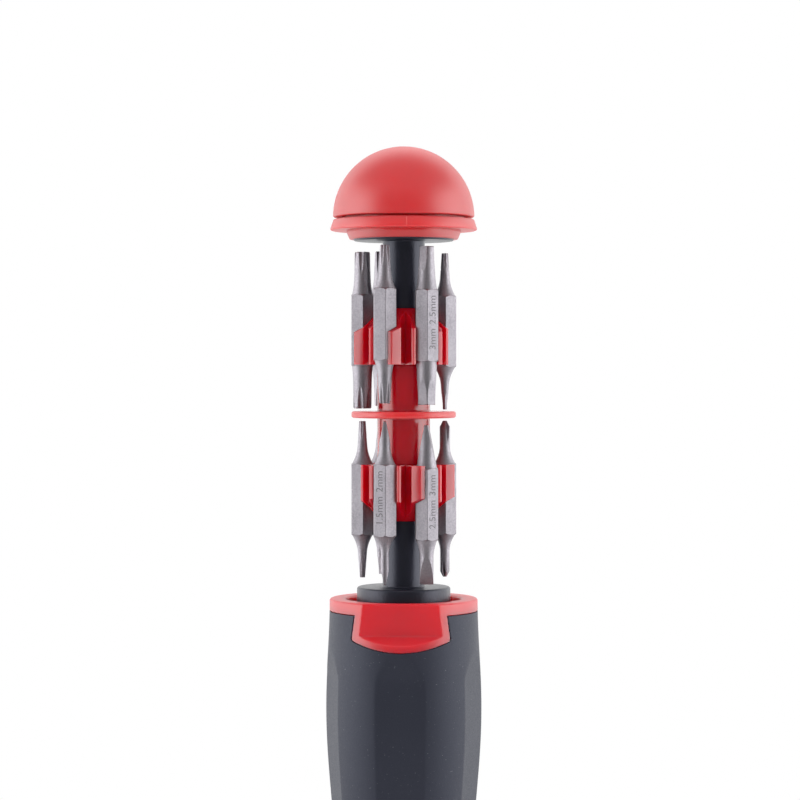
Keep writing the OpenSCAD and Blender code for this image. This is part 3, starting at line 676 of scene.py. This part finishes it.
# Cap base: a satin red moulding, screwed to the stem. Its spigot closes the handle's mouth, its flange lies
# on the collar, its ring guides the dome and its barbed post holds it.
DOME_Z = 164.2
SPIGOT_R, SPIGOT_Z, SPIGOT_EDGE = 10.34, 160.2, 0.2
LEAD_IN, LEAD_IN_H = 0.5, 1.2
FLANGE_Z, FLANGE_EDGE = 161.8, 0.3
CAP_R, CAP_TOP_R, CAP_TOP_Z = 13.44, 12.79, 163.8
GUIDE_R, GUIDE_Z, GUIDE_WALL = 11.0, DOME_Z + 0.8, 1.2
BOSS_R = 4.6
POST_R, POST_TOP = 3.0, DOME_Z + 3.4
BARB_OUT, BARB_H, BARB_EDGE = 0.35, 0.65, 0.1
TIP_IN, TIP_H = 0.3, 1.3
recess_r, recess_z, recess_edge = HEAD_R + FIT_GAP, HEAD_Z + HEAD_H + FIT_GAP, 0.1
head_seat = POST_TOP - 0.1
cap_base = turned_piece("cap_base_moulding", rounded([
    (screw_bore, recess_z), (recess_r, recess_z), (recess_r, SPIGOT_Z, recess_edge),
    (SPIGOT_R - LEAD_IN, SPIGOT_Z, SPIGOT_EDGE), (SPIGOT_R, SPIGOT_Z + LEAD_IN_H, FLANGE_EDGE),
    (SPIGOT_R, FLANGE_Z), (CAP_R, FLANGE_Z, FLANGE_EDGE), (CAP_TOP_R, CAP_TOP_Z, FLANGE_EDGE),
    (GUIDE_R, CAP_TOP_Z), (GUIDE_R, GUIDE_Z, FINE_EDGE),
    (GUIDE_R - GUIDE_WALL, GUIDE_Z, FINE_EDGE), (GUIDE_R - GUIDE_WALL, CAP_TOP_Z),
    (BOSS_R, CAP_TOP_Z), (BOSS_R, DOME_Z), (POST_R, DOME_Z), (POST_R, POST_TOP),
    (POST_R + BARB_OUT, POST_TOP, BARB_EDGE), (POST_R + BARB_OUT, POST_TOP + BARB_H),
    (POST_R - TIP_IN, POST_TOP + TIP_H), (head_bore, POST_TOP + TIP_H),
    (head_bore, head_seat), (screw_bore, head_seat),
]))
settle(cap_base, "cap_base", cap_red)


# Seam: the fine raised line that the two halves of the mould leave down the front and the back of the
# flange. It is of one piece with the cap base, and a little paler than the flange.
SEAM_R, SEAM_SINK, SEAM_END, SEAM_POINTS = 0.08, 0.03, 0.16, 9
SEAM_TURNS = (math.radians(5), math.radians(185))
ridges = bmesh.new()
for turn in SEAM_TURNS:
    outward = Vector((math.sin(turn), -math.cos(turn), 0))
    aside = Vector((math.cos(turn), math.sin(turn), 0))
    corners = []
    for height in (FLANGE_Z + SEAM_END, CAP_TOP_Z - SEAM_END):
        centre = np.interp(height, (FLANGE_Z, CAP_TOP_Z), (CAP_R, CAP_TOP_R)) - SEAM_SINK
        for bend in np.linspace(0, math.pi, SEAM_POINTS):
            spot = outward * (centre + SEAM_R * math.sin(bend)) + aside * (SEAM_R * math.cos(bend))
            corners.append(ridges.verts.new((spot + Vector((0, 0, height))) * MM))
    bmesh.ops.convex_hull(ridges, input=corners)
seam_mesh = bpy.data.meshes.new("cap_base_seam")
ridges.to_mesh(seam_mesh)
ridges.free()
seam = link_piece("cap_base_seam", seam_mesh)
seam_red = Finish(bpy.data.materials.new("seam_red"))
seam.data.materials.append(seam_red.wear(Base_Color=(0.86, 0.13, 0.13, 1), Roughness=0.36))
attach(seam, nodes["cap_base"]["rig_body"])


# Dome: a hollow satin red shell, moulded in one with the hub that snaps over the cap's post. It turns freely
# under the palm that presses on it.
DOME_R, DOME_WALL, DOME_EDGE, DOME_COLUMNS = 12.85, 1.6, 0.3, 192
SPIN_GAP, HUB_REACH, SNAP_H = 0.06, 3.2, 1.54
SHELL_START, SHELL_POINTS, CAVITY_POINTS = math.radians(2), 48, 24


def dome_arc(radius, start, end, points):
    """Points of an arc about the dome's centre, between two angles above the level."""
    turn = np.linspace(start, end, points)
    return np.stack([radius * np.cos(turn), DOME_Z + radius * np.sin(turn)], -1)


hub_r, hub_out, hub_foot = POST_R + SPIN_GAP, POST_R + HUB_REACH, DOME_Z + SPIN_GAP
snap_r, snap_foot = POST_R + BARB_OUT + SPIN_GAP, POST_TOP - SPIN_GAP
snap_top = snap_foot + SNAP_H
hub = np.array([
    (0, snap_top), (snap_r, snap_top), (snap_r, snap_foot), (hub_r, snap_foot),
    (hub_r, hub_foot), (hub_out, hub_foot),
])
cavity_r, rim_r = DOME_R - DOME_WALL, DOME_R - 0.01
cavity = dome_arc(cavity_r, math.acos(hub_out / cavity_r), 0, CAVITY_POINTS)
shell = dome_arc(DOME_R, SHELL_START, math.pi / 2, SHELL_POINTS)
foot = rounded([(cavity_r, DOME_Z), (rim_r, DOME_Z, DOME_EDGE), tuple(shell[0])])[:-1]
dome = turned_piece("dome_cap_moulding", np.concatenate([hub, cavity, foot, shell]), DOME_COLUMNS)
settle(dome, "dome_cap", cap_red)


# Floor: a pale matt disc whose rim fades into the white room. It lies just below the lowest place of the
# driver bit, which the pull draws out of the shaft.
FLOOR_R, FADE_R, FLOOR_SIDES = 480 * MM, 260 * MM, 96
BIT_PULL, FLOOR_GAP = 16 * MM, 0.5 * MM
floor_z = cad_box[0].z - BIT_PULL - FLOOR_GAP
disc = bmesh.new()
bmesh.ops.create_circle(disc, cap_ends=True, radius=FLOOR_R, segments=FLOOR_SIDES)
floor_mesh = bpy.data.meshes.new("floor")
disc.to_mesh(floor_mesh)
disc.free()
floor = bpy.data.objects.new("floor", floor_mesh)
floor.location.z = floor_z
scene.collection.objects.link(floor)
pale = Finish(bpy.data.materials.new("pale_floor"))
away = pale.node("ShaderNodeVectorMath", {"operation": "LENGTH"}, {0: pale.place()}, "Value")
fade = pale.node(
    "ShaderNodeMapRange",
    {"interpolation_type": "SMOOTHSTEP"},
    {"Value": away, "From Min": FADE_R / MM, "From Max": FLOOR_R / MM, "To Min": 0.0, "To Max": 1.0},
)
pale.wear(Base_Color=(0.86, 0.86, 0.86, 1), Roughness=0.7)
clear_shader = pale.node("ShaderNodeBsdfTransparent", {}, {})
surface = pale.node(
    "ShaderNodeMixShader", {}, {0: fade, 1: Shade(pale, pale.shader.outputs[0]), 2: clear_shader}
)
pale.feed(pale.tree.nodes["Material Output"].inputs["Surface"], surface)
floor_mesh.materials.append(pale.owner)


# Studio: an even white room. In reflections it is dark behind the camera and overhead, and bright from white
# screens on both sides and from the wall behind the part. The camera sees plain white.
ROOM_LEVEL, SCREEN_LEVEL = 0.92, 2.5
SCREEN_TOP, CEILING_FOOT = 0.42, 0.66
CEILING_LEVEL, WALL_LEVEL = 0.2, 0.8
CEILING_END, WALL_START = -0.1, -0.85
RING_STOPS = [
    (0, 0.44), (0.04, 0.46), (0.1, 0.7), (0.3, 0.85), (0.5, 1.25),
    (0.62, 1.25), (0.72, 0.95), (0.79, 1), (0.83, 0.09), (1, 0.06),
]
room = Finish(scene.world or bpy.data.worlds.new("room"))
scene.world = room.owner
scene.world.cycles.sampling_method = "NONE"
look = room.node("ShaderNodeTexCoord", {}, {}, "Generated")
level_look = room.node("ShaderNodeVectorMath", {"operation": "MULTIPLY"}, {0: look, 1: (1, 1, 0)})
bearing = room.node("ShaderNodeVectorMath", {"operation": "NORMALIZE"}, {0: level_look})


def along(direction, axis):
    """Share of a direction that lies along an axis."""
    return room.node("ShaderNodeVectorMath", {"operation": "DOT_PRODUCT"}, {0: direction, 1: axis}, "Value")


def step(value, start, end, low, high):
    """Smooth step from one level to another."""
    return room.node(
        "ShaderNodeMapRange",
        {"interpolation_type": "SMOOTHSTEP"},
        {"Value": value, "From Min": start, "From Max": end, "To Min": low, "To Max": high},
    )


to_eye = (math.sin(EYE_AZIMUTH), -math.cos(EYE_AZIMUTH), 0)
ring = room.node("ShaderNodeValToRGB", {"stops": RING_STOPS}, {"Fac": 0.5 + 0.5 * along(bearing, to_eye)})
above = step(along(look, (0, 0, 1)), SCREEN_TOP, CEILING_FOOT, 0.0, 1.0)
behind = step(along(look, to_eye), CEILING_END, WALL_START, CEILING_LEVEL, WALL_LEVEL)
reflected = SCREEN_LEVEL * ((1 - above) * ring + above * behind)
seen = room.node("ShaderNodeLightPath", {}, {}, "Is Camera Ray")
mirrored = room.node("ShaderNodeLightPath", {}, {}, "Is Glossy Ray")
level = seen + (1 - seen) * (mirrored * reflected + (1 - mirrored) * ROOM_LEVEL)
room.feed(room.tree.nodes["Background"].inputs["Color"], (1, 1, 1, 1))
room.feed(room.tree.nodes["Background"].inputs["Strength"], level)
